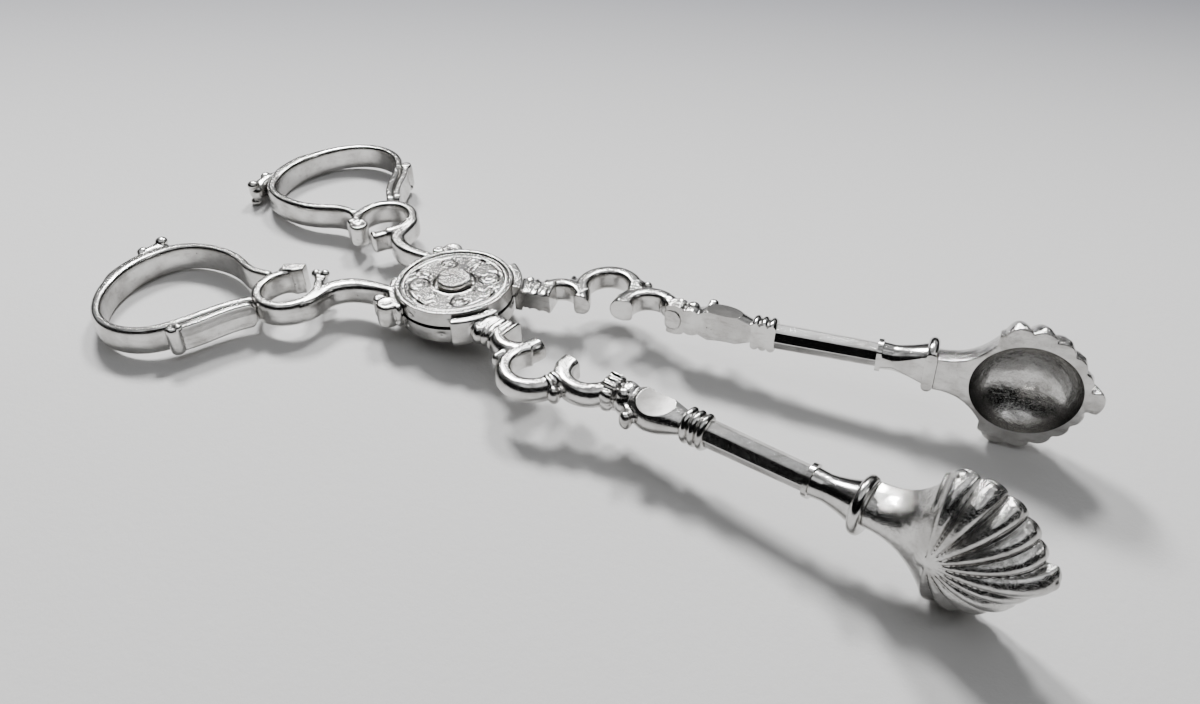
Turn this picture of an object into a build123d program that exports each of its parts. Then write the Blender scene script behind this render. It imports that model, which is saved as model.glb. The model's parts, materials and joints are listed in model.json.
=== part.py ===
from build123d import *
import os
from math import atan, cos, degrees, radians, sin

# Scissor-action ice tongs, cast in silver. Two identical arms cross at a round lap hinge.
# An arm is a finger ring, a C scroll, a stem, one half of the hinge, a scrolled jaw arm,
# a baluster, an eight-sided rod and a shell-shaped bowl, cast apart and soldered end to end.
# One arm is modelled in the hinge frame: the hinge axis is Z, the jaws lie towards +X.
# The second arm is the same casting turned over about the X axis.
# All sizes are in millimetres, all angles in degrees.

# ---- hinge ----
disc_radius = 7.25  # outer radius of each hinge disc
disc_thickness = 2.0  # thickness of one disc at its rim
rim_width = 0.75  # raised rim round the outer face of a disc
rim_height = 0.22  # how far the rim stands above the engraved field
pin_radius = 1.25  # hinge pin
running_clearance = 0.05  # radial play of the pin, and end play of the discs
washer_radius = 4.2  # spacing washer between the discs
washer_thickness = 0.25
boss_radius = 2.2  # round boss on top, and riveted cap below
boss_height = 0.75
boss_spigot_radius = 0.6  # spigot under the boss, set in the top of the pin
boss_spigot_length = 0.9
side_clearance = 0.25  # between an arm's root and the other arm's disc

# ---- angles of the arms ----
jaw_angle = 8.8  # half the opening between the flat jaw faces at rest

# ---- jaw arm, stations along X from the hinge axis, offsets outwards along Y ----
arm_axis = 3.55  # offset of the turned sections' axis from the pivot
shoulder_end = 11.6
shoulder_face = 1.85  # flat inner face of the shoulder block
shoulder_half_height = 1.4
arch_half_height = 1.4
tip_face = 2.75  # flat ends of the scroll tips
scrolls_length = 15.0  # the row of three scrolls
small_arch_centre = (shoulder_end + 1.4, 2.5)
small_arch_radius = 2.85  # middle of the band
big_arch_centre = (shoulder_end + 6.5, 6.3)
big_arch_radius = 3.45
third_arch_centre = (shoulder_end + 12.5, 3.3)
third_arch_radius = 3.15
arch_band = 1.35  # thickness of a scroll's band
baluster_length = 10.4
baluster_face = 2.95
root_block_length = 1.9
root_block_radius = 2.2
baluster_throat = 1.65
baluster_belly = 3.0
baluster_squash = 0.75  # its height against its width
ferrule_length = 2.9
ferrule_rings = 3
ferrule_radius = 2.05
ferrule_groove = 1.65
ferrule_face = 2.55
rod_flats = 2.9  # across the flats of the eight-sided rod
rod_taper = 0.12  # how much narrower, each side, the rod gets towards the shell
rod_length = 11.6
socket_length = 5.3
socket_mouth = 1.85
socket_waist = 1.5
socket_flare = 2.35
socket_face = 2.1
tenon_radius = 0.8  # round tenon on the rod's end, soldered in the socket
tenon_length = 1.6
tenon_clearance = 0.02
collar_length = 1.25
collar_radius = 3.15
collar_face = 1.75

# ---- shell-shaped bowl ----
shell_face = 1.75  # flat rim plane, offset from the pivot
bowl_radius = 5.85  # round hollow cut in the flat rim
bowl_depth = 4.3
neck_length = 9.55  # from the collar to the middle of the bowl
shell_reach = 7.7  # from the bowl's middle to the shell's end
shell_half_height = 8.3
shell_dome = 5.6  # how far the back stands off the rim plane
shell_lobes = 11
lobe_depth = 0.5
neck_radius = 2.15
neck_straight = 2.55  # from the collar to where the neck begins to flare
neck_bend_size = (2.5, 3.1)  # half size outwards and up, at the bend
neck_merge = 2.6  # where the flare meets the shell, before the middle of the bowl
neck_merge_size = (5.0, 7.0)

# ---- handle, towards -X, on the -Y side ----
strip_half_height = 1.6
scroll_radius = 3.85
scroll_right_side = -14.75  # middle of the band where the stem leaves the scroll
scroll_centre = (scroll_right_side - scroll_radius, -9.8)
scroll_band = 1.2
scroll_ball = 1.15  # rolled tip on the ring side
scroll_tip_length = 2.4  # flat block on the hinge side
ring_half_height = 1.8
ring_band = 1.35
ring_lap = 0.25  # how far the ring's near end reaches into the scroll's band
ring_length = 19.5
ring_width = 19.5
ring_inner_side = -7.0
leaf_band = 0.95
leaf_half_height = 1.7
leaf_spur = 0.85
leaf_shares = (0.86, 0.92, 0.98)  # where the leaf lies, as shares of the ring's length
end_leaf_share = 0.36
end_leaf_length = 3.1
end_leaf_band = 1.3
stem_band = 1.6
collar_band = 1.2  # curved collar that hugs the disc
stem_collar_angles = (193, 246)
volute_radius = 1.45
volute_angle = 232

disc_gap = washer_thickness + running_clearance
disc_inner = disc_gap / 2  # inner face of the upper disc, above the middle plane
disc_outer = disc_inner + disc_thickness
tall = 4 * shell_half_height  # more than any piece is high

# Where each section of the jaw arm starts, and the middle of the bowl, along X.
baluster_start = shoulder_end + scrolls_length
baluster_end = baluster_start + baluster_length
rod_start = baluster_end + ferrule_length
socket_start = rod_start + rod_length
collar_start = socket_start + socket_length
neck_start = collar_start + collar_length
shell_centre = neck_start + neck_length

# The ends of the heart-shaped ring, along X.
ring_near_end = scroll_centre[0] - scroll_radius + ring_lap
ring_far_end = ring_near_end - ring_length

BASE = (Align.CENTER, Align.CENTER, Align.MIN)
TOP = (Align.CENTER, Align.CENTER, Align.MAX)
FROM_LEFT = (Align.MIN, Align.CENTER, Align.CENTER)


def ring_point(along, across):
    """A point of the finger ring: along runs from the scroll to the far end, across from
    the inner side to the outer side, both from 0 to 1."""
    return (
        ring_near_end - along * ring_length,
        ring_inner_side - across * ring_width,
    )


def on_circle(centre, radius, angle):
    """A point on a circle in the plan."""
    return (
        centre[0] + radius * cos(radians(angle)),
        centre[1] + radius * sin(radians(angle)),
    )


def ribbon(path, start_band, end_band, half_height, stations=24):
    """An upright strip along a smooth plan line, as thick as the bands at its two ends."""
    line = Spline(*path)
    left, right = [], []
    for i in range(stations + 1):
        share = i / stations
        spot = line.position_at(share)
        way = line.tangent_at(share)
        half = (start_band + (end_band - start_band) * share) / 2
        left.append((spot.X - way.Y * half, spot.Y + way.X * half))
        right.append((spot.X + way.Y * half, spot.Y - way.X * half))
    with BuildSketch() as plan:
        with BuildLine():
            a = Spline(*left)
            b = Spline(*right)
            Line(a @ 0, b @ 0)
            Line(a @ 1, b @ 1)
        make_face()
    return extrude(plan.sketch, half_height, both=True)


def post(centre, radius, half_height):
    """An upright round post."""
    return Pos(centre[0], centre[1], 0) * Cylinder(radius, 2 * half_height)


def arch(centre, radius, band, half_height, start, finish):
    """Part of a ring with a D section, round side outwards, from one plan angle to another."""
    inner, outer = radius - band / 2, radius + band / 2
    with BuildSketch(Plane.XZ) as section:
        with BuildLine():
            Line((inner, -0.85 * half_height), (inner, 0.85 * half_height))
            Line((inner, 0.85 * half_height), (radius, half_height))
            ThreePointArc((radius, half_height), (outer, 0), (radius, -half_height))
            Line((radius, -half_height), (inner, -0.85 * half_height))
        make_face()
    band_solid = revolve(section.sketch, Axis.Z, finish - start)
    return Pos(centre[0], centre[1], 0) * Rot(0, 0, start) * band_solid


def strip_arc(centre, radius, band, half_height, start, finish):
    """Part of a ring with a square-cut section, from one plan angle to another."""
    section = Plane.XZ * Pos(radius, 0, 0) * Rectangle(band, 2 * half_height)
    return Pos(centre[0], centre[1], 0) * Rot(0, 0, start) * revolve(section, Axis.Z, finish - start)


def turned(outline):
    """A solid turned about the arm's axis, from an outline drawn as station and radius."""
    with BuildSketch() as section:
        add(make_face(outline))
    return Pos(0, arm_axis, 0) * revolve(section.sketch, Axis.X, 360)


def outside_face(face):
    """Everything on the outer side of a flat inner face."""
    return Pos(shell_centre, face + tall / 2, 0) * Box(4 * shell_centre, tall, tall)


def room_for_discs():
    """What an arm's root leaves free: its own disc, and the other disc with a clearance."""
    own = Pos(0, 0, disc_inner) * Cylinder(disc_radius, tall, align=BASE)
    other = Pos(0, 0, disc_inner) * Cylinder(disc_radius + side_clearance, tall, align=TOP)
    return own + other


def hinge_disc():
    """One half of the hinge: a disc with a raised rim and a hole for the pin."""
    disc = Pos(0, 0, disc_inner) * Cylinder(disc_radius, disc_thickness, align=BASE)
    field = Pos(0, 0, disc_outer) * Cylinder(disc_radius - rim_width, 2 * rim_height)
    hole = Cylinder(pin_radius + running_clearance, tall)
    return fillet((disc - field).edges().group_by(Axis.Z)[-1], rim_height / 2) - hole


def shoulder():
    """The jaw arm's root block, flat inside and ridged outside, soldered to the disc."""
    outline = Polyline(
        (5.0, shoulder_face),
        (shoulder_end, shoulder_face),
        (shoulder_end, small_arch_centre[1] + small_arch_radius),
        (10.6, 5.3),
        (9.8, 4.9),
        (8.9, 5.2),
        (7.9, 5.1),
        (6.5, 6.9),
        (4.6, 6.2),
        (5.0, shoulder_face),
    )
    block = extrude(make_face(outline), shoulder_half_height, both=True)
    return block - room_for_discs()


def jaw_scrolls():
    """Three C scrolls in a row, their tips cut off flat on the inner side."""
    small = arch(small_arch_centre, small_arch_radius, arch_band, arch_half_height, -10, 150)
    big = arch(big_arch_centre, big_arch_radius, arch_band, arch_half_height, -40, 225)
    third = arch(third_arch_centre, third_arch_radius, arch_band, arch_half_height, -20, 195)
    left, right = shoulder_end, baluster_start
    spike_path = [(left + 2.3, 5.4), (left + 1.7, 6.4), (left + 1.4, 7.6)]
    spike = ribbon(spike_path, 1.0, 0.4, 0.7 * arch_half_height)
    bead_spots = ((right - 3.8, 7.1), (right - 1.7, 6.8))
    beads = [post(spot, 0.85, 0.8 * arch_half_height) for spot in bead_spots]
    scrolls = small + big + third + spike + beads
    ends = Pos((left + right) / 2, 0, 0) * Box(scrolls_length, tall, tall)
    return scrolls & outside_face(tip_face) & ends


def baluster():
    """A root block, a slim throat and a full belly, flat inside, with a curled spur."""
    block_end = baluster_start + root_block_length
    throat = block_end + 1.6
    belly = (throat + baluster_end) / 2
    outline = [
        Line((baluster_start, 0), (baluster_start, root_block_radius)),
        Line((baluster_start, root_block_radius), (block_end, root_block_radius)),
        ThreePointArc(
            (block_end, root_block_radius),
            ((block_end + throat) / 2, baluster_throat + 0.15),
            (throat, baluster_throat),
        ),
        ThreePointArc(
            (throat, baluster_throat), (belly, baluster_belly), (baluster_end, ferrule_groove)
        ),
        Line((baluster_end, ferrule_groove), (baluster_end, 0)),
        Line((baluster_end, 0), (baluster_start, 0)),
    ]
    spur_path = [
        (block_end + 1.1, 4.7),
        (block_end + 2.2, 5.6),
        (block_end + 2.8, 6.7),
        (block_end + 2.6, 7.9),
    ]
    spur = ribbon(spur_path, 1.1, 0.8, 0.5 * arch_half_height)
    body = scale(turned(outline), by=(1, 1, baluster_squash))
    return (body + spur) & outside_face(baluster_face)


def ferrule():
    """A stack of turned rings, flat inside."""
    pitch = ferrule_length / ferrule_rings
    outline = []
    for i in range(ferrule_rings):
        left = baluster_end + i * pitch
        outline.append(
            ThreePointArc(
                (left, ferrule_groove),
                (left + pitch / 2, ferrule_radius),
                (left + pitch, ferrule_groove),
            )
        )
    outline.append(Line((rod_start, ferrule_groove), (rod_start, 0)))
    outline.append(Line((rod_start, 0), (baluster_end, 0)))
    outline.append(Line((baluster_end, 0), (baluster_end, ferrule_groove)))
    return turned(outline) & outside_face(ferrule_face)


def rod():
    """The eight-sided rod, a corner uppermost, narrowing towards a round tenon."""
    plane = Plane(origin=(rod_start, arm_axis, 0), x_dir=(0, 1, 0), z_dir=(1, 0, 0))
    wide = plane * RegularPolygon(rod_flats / 2, 8, major_radius=False)
    end_plane = plane.offset(rod_length)
    slim = end_plane * RegularPolygon(rod_flats / 2 - rod_taper, 8, major_radius=False)
    bar = loft([wide.face(), slim.face()], ruled=True)
    tenon = extrude(end_plane * Circle(tenon_radius), tenon_length)
    return bar + tenon


def socket():
    """The waisted socket that the rod's tenon is soldered into."""
    start, end = socket_start, collar_start
    waist = start + 0.35 * socket_length
    outline = [
        Line((start, 0), (start, socket_mouth)),
        Line((start, socket_mouth), (start + 0.5, socket_mouth)),
        Spline((start + 0.5, socket_mouth), (waist, socket_waist), (end, socket_flare)),
        Line((end, socket_flare), (end, 0)),
        Line((end, 0), (start, 0)),
    ]
    hole_plane = Plane(origin=(start, arm_axis, 0), x_dir=(0, 1, 0), z_dir=(1, 0, 0))
    hole = extrude(
        hole_plane * Circle(tenon_radius + tenon_clearance), tenon_length + tenon_clearance
    )
    return (turned(outline) & outside_face(socket_face)) - hole


def collar():
    """The round collar between the socket and the shell's neck."""
    start, end = collar_start, neck_start
    edge = collar_radius - collar_length / 2
    outline = [
        Line((start, 0), (start, edge)),
        ThreePointArc((start, edge), (start + collar_length / 2, collar_radius), (end, edge)),
        Line((end, edge), (end, 0)),
        Line((end, 0), (start, 0)),
    ]
    return turned(outline) & outside_face(collar_face)


def half_oval(station, middle, outwards, up):
    """An oval section across the arm, at a station along it."""
    plane = Plane(origin=(station, middle, 0), x_dir=(0, 1, 0), z_dir=(1, 0, 0))
    return (plane * Ellipse(outwards, up)).face()


def scallop_outline():
    """The shell's edge: lobes on an oval, closed by the neck."""
    reach_angle = 118
    spots = []
    for i in range(2 * shell_lobes + 1):
        angle = radians(-reach_angle + i * reach_angle / shell_lobes)
        dip = lobe_depth if i % 2 == 0 else 0
        spots.append(
            (
                shell_centre + (shell_reach - dip) * cos(angle),
                (shell_half_height - dip) * sin(angle),
            )
        )
    with BuildSketch(Plane.XZ) as plan:
        with BuildLine():
            for i in range(shell_lobes):
                ThreePointArc(spots[2 * i], spots[2 * i + 1], spots[2 * i + 2])
            Line(spots[-1], (shell_centre - shell_reach, 0))
            Line((shell_centre - shell_reach, 0), spots[0])
        make_face()
    return plan.sketch


def shell_bowl():
    """The neck and the scallop shell, with a round bowl cut in its flat rim."""
    seam_inside = Rot(0, 0, -90) * Sphere(1)
    dome = Pos(shell_centre, shell_face, 0) * scale(
        seam_inside, by=(shell_reach, shell_dome, shell_half_height)
    )
    plate = extrude(Pos(0, shell_face, 0) * scallop_outline(), -2 * shell_dome)
    neck = loft(
        [
            half_oval(neck_start, arm_axis, neck_radius, neck_radius),
            half_oval(neck_start + neck_straight, arm_axis - 0.6, *neck_bend_size),
            half_oval(shell_centre - neck_merge, shell_face, *neck_merge_size),
        ]
    )
    hollow = Pos(shell_centre, shell_face, 0) * scale(
        seam_inside, by=(bowl_radius, bowl_depth, bowl_radius)
    )
    return ((dome & plate) + neck - hollow) & outside_face(shell_face)


def handle_scroll():
    """The C scroll between ring and stem, with a rolled tip and a flat block."""
    band = strip_arc(scroll_centre, scroll_radius, scroll_band, strip_half_height, 125, 412)
    ball = post(on_circle(scroll_centre, scroll_radius, 120), scroll_ball, strip_half_height)
    tip = on_circle(scroll_centre, scroll_radius, 45)
    flat_block = Box(scroll_tip_length, scroll_band, 1.6 * strip_half_height, align=FROM_LEFT)
    block = Pos(tip[0], tip[1], 0) * Rot(0, 0, 125) * flat_block
    return band + ball + block


def ring_path():
    """The ring's middle line, from the C scroll's ring side round to its underside."""
    return [
        on_circle(scroll_centre, scroll_radius, 158),
        ring_point(0.29, 0.03),
        ring_point(0.575, 0),
        ring_point(0.87, 0.135),
        ring_point(1, 0.46),
        ring_point(0.885, 0.8),
        ring_point(0.53, 1),
        ring_point(0.2, 0.8),
        ring_point(0.05, 0.53),
        on_circle(scroll_centre, scroll_radius, 232),
    ]


def finger_ring(scroll):
    """The heart-shaped ring, both ends soldered to the back of the C scroll."""
    return ribbon(ring_path(), ring_band, ring_band, ring_half_height, 60) - scroll


def beside_ring(share, out):
    """A point beside the ring's middle line, at a share of its length, out from its middle."""
    line = Spline(*ring_path())
    spot = line.position_at(share)
    way = line.tangent_at(share)
    return (spot.X - way.Y * out, spot.Y + way.X * out)


def ring_leaf(ring, scroll):
    """A leaf laid on the ring's outer side, ending in an upright rib."""
    out = (ring_band + leaf_band) / 2
    path = [beside_ring(share, -out) for share in leaf_shares]
    leaf = ribbon(path, leaf_band, leaf_band, leaf_half_height)
    rib = post(beside_ring(leaf_shares[0], -out), leaf_spur, leaf_half_height)
    return leaf + rib - ring - scroll


def end_leaf(ring):
    """A small curled leaf at the ring's far end."""
    path = [
        beside_ring(end_leaf_share, -0.3 * ring_band),
        beside_ring(end_leaf_share - 0.01, -0.6 * ring_band - end_leaf_length / 2),
        beside_ring(end_leaf_share - 0.04, -end_leaf_length),
    ]
    return ribbon(path, end_leaf_band, 0.5 * end_leaf_band, 0.7 * ring_half_height) - ring


def stem(scroll):
    """The S-curved stem with the volute and the curved collar that hugs the disc."""
    collar_middle = disc_radius + collar_band / 2
    path = [
        on_circle(scroll_centre, scroll_radius + stem_band / 2, 0),
        (-14.3, -7.0),
        (-12.4, -5.3),
        (-10.1, -4.6),
        on_circle((0, 0), collar_middle, 213),
    ]
    strip = ribbon(path, stem_band, stem_band, strip_half_height)
    start, finish = stem_collar_angles
    hug = strip_arc((0, 0), collar_middle, 1.5 * collar_band, strip_half_height, start, finish)
    volute_centre = on_circle((0, 0), disc_radius + volute_radius, volute_angle)
    volute = post(volute_centre, volute_radius, strip_half_height)
    return strip + hug + volute - room_for_discs() - scroll


def arm():
    """Every piece of one arm in the hinge frame, jaw towards +X and +Y."""
    scroll = handle_scroll()
    ring = finger_ring(scroll)
    pieces = {
        "hinge_disc": hinge_disc(),
        "handle_scroll": scroll,
        "finger_ring": ring,
        "ring_leaf": ring_leaf(ring, scroll),
        "end_leaf": end_leaf(ring),
        "handle_stem": stem(scroll),
    }
    jaw = {
        "jaw_shoulder": shoulder(),
        "jaw_scrolls": jaw_scrolls(),
        "baluster": baluster(),
        "ferrule": ferrule(),
        "rod": rod(),
        "socket": socket(),
        "collar": collar(),
        "shell_bowl": shell_bowl(),
    }
    for name, piece in jaw.items():
        pieces[name] = Rot(0, 0, jaw_angle) * piece
    return pieces


def fasteners():
    """The hinge pin with its riveted cap, the washer between the discs, and the boss."""
    top = disc_outer - rim_height + running_clearance
    bottom = -disc_outer + rim_height
    shaft = Pos(0, 0, bottom) * Cylinder(pin_radius, top - bottom, align=BASE)
    cap = Pos(0, 0, bottom) * Cylinder(boss_radius, boss_height, align=TOP)
    spigot_hole = Pos(0, 0, top) * Cylinder(boss_spigot_radius, 2 * boss_spigot_length)
    boss = Pos(0, 0, top) * Cylinder(boss_radius, boss_height, align=BASE)
    spigot = Pos(0, 0, top) * Cylinder(boss_spigot_radius, boss_spigot_length, align=TOP)
    washer = Pos(0, 0, -disc_inner) * Cylinder(washer_radius, washer_thickness, align=BASE)
    return {
        "hinge_pin": fillet((shaft + cap).edges().group_by(Axis.Z)[0], 0.3) - spigot_hole,
        "pin_boss": fillet((boss + spigot).edges().group_by(Axis.Z)[-1], 0.3),
        "spacing_washer": washer - Cylinder(pin_radius + running_clearance, tall),
    }


pieces = {}
for name, piece in arm().items():
    pieces["upper_" + name] = piece
    pieces["lower_" + name] = Rot(180, 0, 0) * piece
pieces.update(fasteners())

# At rest the tongs lie on the lower edges of the shells and of the finger rings.
span = (shell_centre - ring_far_end) * cos(radians(jaw_angle))
tilt = degrees(atan((shell_half_height - ring_half_height) / span))
tilted = {name: Rot(0, -tilt, 0) * piece for name, piece in pieces.items()}
boxes = [piece.bounding_box() for piece in tilted.values()]
low = [min(getattr(box.min, side) for box in boxes) for side in ("X", "Y", "Z")]
high = [max(getattr(box.max, side) for box in boxes) for side in ("X", "Y", "Z")]
place = Pos(-(low[0] + high[0]) / 2, -(low[1] + high[1]) / 2, -low[2])

os.makedirs("parts", exist_ok=True)
for name, piece in tilted.items():
    export_step(place * piece, os.path.join("parts", name + ".step"))
print("tilt", round(tilt, 4), "hinge centre", place.position)
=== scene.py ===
# %% [markdown]
# # Silver ice tongs, finished round their working model
# The tongs are two cast silver arms that cross at a round hinge, as scissors do. A silversmith
# cast each arm in short sections, soldered them end to end, filed the seams away and polished
# the whole. The sizes and the motion are already settled in a packed working model, so this
# lesson only makes the looks. Each section of each arm becomes one finished piece. It rides on
# the body that the section belongs to, and it replaces the plain section in the picture.

# %% Load the working model
import json

import bpy
import numpy as np
from mathutils import Matrix, Vector


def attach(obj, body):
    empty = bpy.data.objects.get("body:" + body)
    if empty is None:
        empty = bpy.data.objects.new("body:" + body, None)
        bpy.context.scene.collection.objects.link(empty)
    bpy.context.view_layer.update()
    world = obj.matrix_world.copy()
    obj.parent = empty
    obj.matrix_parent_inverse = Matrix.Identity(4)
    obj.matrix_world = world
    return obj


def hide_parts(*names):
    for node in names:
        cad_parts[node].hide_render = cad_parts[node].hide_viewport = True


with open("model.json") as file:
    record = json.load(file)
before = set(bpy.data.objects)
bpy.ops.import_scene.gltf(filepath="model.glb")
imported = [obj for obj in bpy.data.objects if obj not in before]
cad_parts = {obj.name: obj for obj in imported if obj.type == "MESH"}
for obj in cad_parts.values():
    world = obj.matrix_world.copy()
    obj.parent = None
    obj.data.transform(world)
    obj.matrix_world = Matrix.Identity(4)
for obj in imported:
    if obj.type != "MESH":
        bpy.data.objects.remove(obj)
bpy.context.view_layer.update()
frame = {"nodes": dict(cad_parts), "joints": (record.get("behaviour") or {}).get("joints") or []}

# %% [markdown]
# ## The hinge frame
# Both arms are the same casting, and the second is the first one turned over. So every shape is
# worked out once, in millimetres, in the hinge frame: the hinge's axis is up, and the jaws point
# along the first axis. The joint in the working model says where that frame lies. A jaw section
# is first drawn along a straight line and then turned outwards by the jaw angle.

# %% The hinge frame
MM = 0.001
ARMS = ("upper", "lower")
JAW_ANGLE = np.radians(8.8)
hinge = frame["joints"][0]
hinge_point = np.array(hinge["pos_m"])
upwards = np.array(hinge["axis"]) / np.linalg.norm(hinge["axis"])
forwards = np.cross((0, 1, 0), upwards)
forwards /= np.linalg.norm(forwards)
hinge_axes = np.stack([forwards, np.cross(upwards, forwards), upwards])


def place(points, arm):
    """Hinge-frame millimetres to metres in the model's frame: the lower arm is turned half a
    turn about the first axis, so its second and third coordinates change sign."""
    turned_over = points * ((1, -1, -1) if arm == "lower" else (1, 1, 1))
    return hinge_point + MM * turned_over @ hinge_axes


def open_jaw(points):
    """Turns jaw points about the hinge by the jaw angle."""
    c, s = np.cos(JAW_ANGLE), np.sin(JAW_ANGLE)
    return points @ np.array([[c, s, 0], [-s, c, 0], [0, 0, 1]])


print("the hinge stands at", hinge_point, "and leans by", np.degrees(np.arccos(upwards[2])), "degrees")

# %% [markdown]
# ## Skins
# Every casting starts as one or more closed skins. A skin is a grid of rings: each row is a
# closed ring of points, each ring is joined to the next, and the two ends are closed at their
# middles. If the skin's volume comes out negative, its faces point inwards, so they are turned
# round.


# %% Closed skins from grids
def tube(rows):
    """A closed skin from an (n, m, 3) grid: n rings of m points, with both ends closed."""
    n, m = rows.shape[:2]
    points = np.vstack([rows.reshape(-1, 3), rows[0].mean(0), rows[-1].mean(0)])
    i, j = np.meshgrid(np.arange(n - 1) * m, np.arange(m), indexing="ij")
    k = (j + 1) % m
    quads = np.stack([i + j, i + k, i + m + k, i + m + j], -1).reshape(-1, 4)
    j, k = np.arange(m), (np.arange(m) + 1) % m
    first = np.stack([k, j, np.full(m, n * m)], -1)
    last = np.stack([(n - 1) * m + j, (n - 1) * m + k, np.full(m, n * m + 1)], -1)
    caps = np.vstack([first, last])
    corners = np.vstack([quads[:, :3], quads[:, [0, 2, 3]], caps])
    a, b, c = (points[corners[:, side]] - points.mean(0) for side in range(3))
    if np.einsum("ij,ij->", a, np.cross(b, c)) < 0:
        quads, caps = quads[:, ::-1], caps[:, ::-1]
    return points, quads, caps


def joined(skins):
    """Several skins as one list of points and one list of faces."""
    points, faces, count = [], [], 0
    for skin_points, quads, caps in skins:
        points.append(skin_points)
        faces += (quads + count).tolist() + (caps + count).tolist()
        count += len(skin_points)
    return np.vstack(points), faces


def grid(x, y, z):
    """A grid of points from its three coordinates, each spread over the whole grid."""
    return np.stack(np.broadcast_arrays(x, y, z), -1)


sample = tube(grid(np.arange(5.0)[:, None], np.zeros(8), np.zeros(8)))
print("5 rings of 8 points make", len(sample[1]), "four-sided faces and", len(sample[2]), "in the ends")

# %% [markdown]
# ## Lines and sections
# The scrolls, the ring and the stem are upright strips of silver that follow a line in the plan.
# A strip is a section carried along that line. The section is a rounded oblong: an oval whose
# power says how square it is. Two is an ellipse, and five is nearly a rectangle with soft edges.


# %% Lines in the plan
def travelled_along(line):
    """How far each point of a line is from its start, along the line."""
    return np.r_[0, np.cumsum(np.linalg.norm(np.diff(line, axis=0), axis=1))]


def smooth_line(points, count):
    """A smooth line through the points: a natural cubic spline over the chord length, sampled
    again at even distances."""
    p = np.array(points, float)
    n = len(p)
    knots = travelled_along(p)
    h = np.diff(knots)
    system = np.eye(n)
    i = np.arange(1, n - 1)
    system[i, i - 1], system[i, i], system[i, i + 1] = h[:-1], 2 * (h[:-1] + h[1:]), h[1:]
    right = np.zeros_like(p)
    right[1:-1] = 6 * np.diff(np.diff(p, axis=0) / h[:, None], axis=0)
    bend = np.linalg.solve(system, right)
    t = np.linspace(0, knots[-1], 60 * n)
    k = np.clip(np.searchsorted(knots, t, side="right") - 1, 0, n - 2)
    after, before, width = (t - knots[k])[:, None], (knots[k + 1] - t)[:, None], h[k][:, None]
    line = (before**3 * bend[k] + after**3 * bend[k + 1]) / (6 * width)
    line += before * (p[k] / width - bend[k] * width / 6)
    line += after * (p[k + 1] / width - bend[k + 1] * width / 6)
    travelled = travelled_along(line)
    even = np.linspace(0, travelled[-1], count)
    return np.stack([np.interp(even, travelled, line[:, side]) for side in range(p.shape[1])], -1)


def on_circle(centre, radius, angle):
    """A point on a circle in the plan, at an angle in degrees."""
    a = np.radians(angle)
    return np.stack([centre[0] + radius * np.cos(a), centre[1] + radius * np.sin(a)], -1)


def arc(centre, radius, start, finish, count=120):
    """A line of points along part of a circle in the plan."""
    return on_circle(centre, radius, np.linspace(start, finish, count))


def beside(line, share, out):
    """A point beside a line, at a share of its length, out to its right."""
    i = int(round(share * (len(line) - 1)))
    way = np.gradient(line, axis=0)[i]
    way /= np.linalg.norm(way)
    return line[i] + out * np.array([way[1], -way[0]])


print("half a circle of radius 10 is", round(travelled_along(arc((0, 0), 10, 0, 180))[-1], 2), "long")


# %% Strips, posts and beads
def section(left, right, up, square_left=4.0, square_right=4.0, count=48):
    """A closed rounded oblong as (sideways, upwards): on each side, the width and the height
    follow cosine and sine raised to two over the power."""
    angle = np.linspace(0, 2 * np.pi, count, endpoint=False)
    c, s = np.cos(angle), np.sin(angle)
    power = 2 / np.where(c >= 0, square_left, square_right)
    sideways = np.where(c >= 0, left, -np.asarray(right)) * np.abs(c) ** power
    return sideways, up * np.sign(s) * np.abs(s) ** power


def strip(line, sideways, tall, round_start=0.0, round_end=0.0):
    """A section carried along a plan line, standing upright. Near a rounded end, the section
    shrinks as a quarter circle does."""
    n = len(line)
    way = np.gradient(line, axis=0)
    way /= np.linalg.norm(way, axis=1)[:, None]
    left = np.stack([-way[:, 1], way[:, 0]], -1)
    travelled = travelled_along(line)
    size = np.ones(n)
    for reach, distance in ((round_start, travelled), (round_end, travelled[-1] - travelled)):
        if reach:
            size *= np.sqrt(np.clip(1 - np.clip(1 - distance / reach, 0, 1) ** 2, 1e-4, 1))
    m = max(np.shape(sideways)[-1], np.shape(tall)[-1])
    sideways, tall = (np.broadcast_to(v, (n, m)) * size[:, None] for v in (sideways, tall))
    rows = np.empty((n, m, 3))
    rows[..., :2] = line[:, None] + left[:, None] * sideways[..., None]
    rows[..., 2] = tall
    return tube(rows)


def post(centre, radius, low, high, square=5.0, dish=0.0):
    """An upright post: a rounded oblong turned about its middle line, its two ends dished."""
    a = np.linspace(-np.pi / 2, np.pi / 2, 41)[:, None]
    turn = np.linspace(0, 2 * np.pi, 40, endpoint=False)
    r = np.abs(np.cos(a)) ** (2 / square)
    z = np.sign(np.sin(a)) * np.abs(np.sin(a)) ** (2 / square)
    z = (low + high) / 2 + (high - low) / 2 * z - dish * z * (1 - r**2)
    x, y = centre[0] + radius * r * np.cos(turn), centre[1] + radius * r * np.sin(turn)
    return tube(grid(x, y, z))


def bead(x, y, z, length, width, height):
    """An egg with its three half sizes along the three axes."""
    a = np.linspace(-np.pi / 2, np.pi / 2, 25)[:, None]
    turn = np.linspace(0, 2 * np.pi, 36, endpoint=False)
    along, across = length * np.cos(a) * np.cos(turn), width * np.cos(a) * np.sin(turn)
    return tube(grid(x + along, y + across, z + height * np.sin(a)))


print("a bead has", len(bead(0, 0, 0, 1, 1, 1)[0]), "points")


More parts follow.
